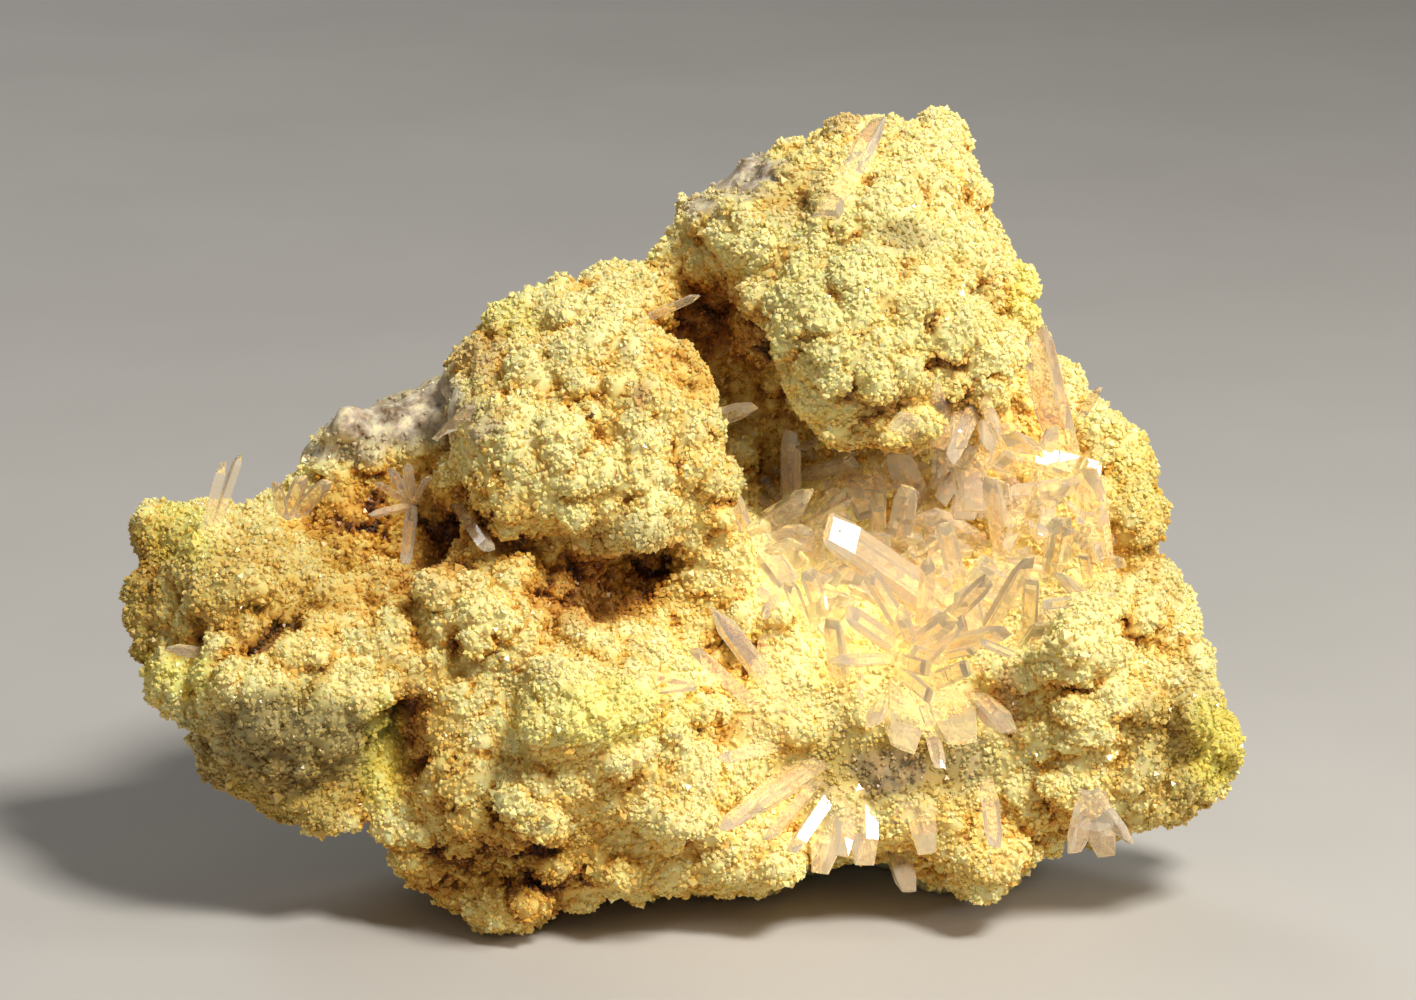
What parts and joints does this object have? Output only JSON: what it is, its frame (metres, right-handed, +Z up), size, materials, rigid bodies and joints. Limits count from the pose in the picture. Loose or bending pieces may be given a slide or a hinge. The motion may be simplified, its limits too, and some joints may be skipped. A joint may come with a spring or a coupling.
{
  "type": "celestite specimen",
  "caption": "Free-standing mineral specimen: lumpy yellow matrix with a sugary druse and a hollow lined with clear, bladed crystals.",
  "frame": {"origin": "middle of the footprint of the whole specimen, on the surface that it rests on", "axes": "+X to the right across the face with the crystals, +Y to the broken back, +Z up; the face leans back by 15 degrees"},
  "size_m": [0.112, 0.0506, 0.0798],
  "materials": {
    "matrix": "sulphur-yellow matrix under a sugary druse, cream on its tips and honey brown in its creases, with plain grey-tan broken rock behind",
    "crystal": "clear, colourless crystal with glossy flat faces"
  },
  "bodies": {
    "root": {"matrix": "matrix", "hollow_crystal_crust": "crystal", "left_twin_crystals": "crystal", "left_edge_crystal": "crystal", "left_slope_crystals": "crystal", "slope_spray": "crystal", "ledge_crystal": "crystal", "shoulder_crystal": "crystal", "cleft_crystals": "crystal", "cleft_blade": "crystal", "upper_lump_crystal": "crystal", "flange_crystal": "crystal", "stub_crystals": "crystal", "lower_right_crystal": "crystal", "right_edge_crystals": "crystal", "foot_crystal": "crystal"}
  },
  "joints": []
}
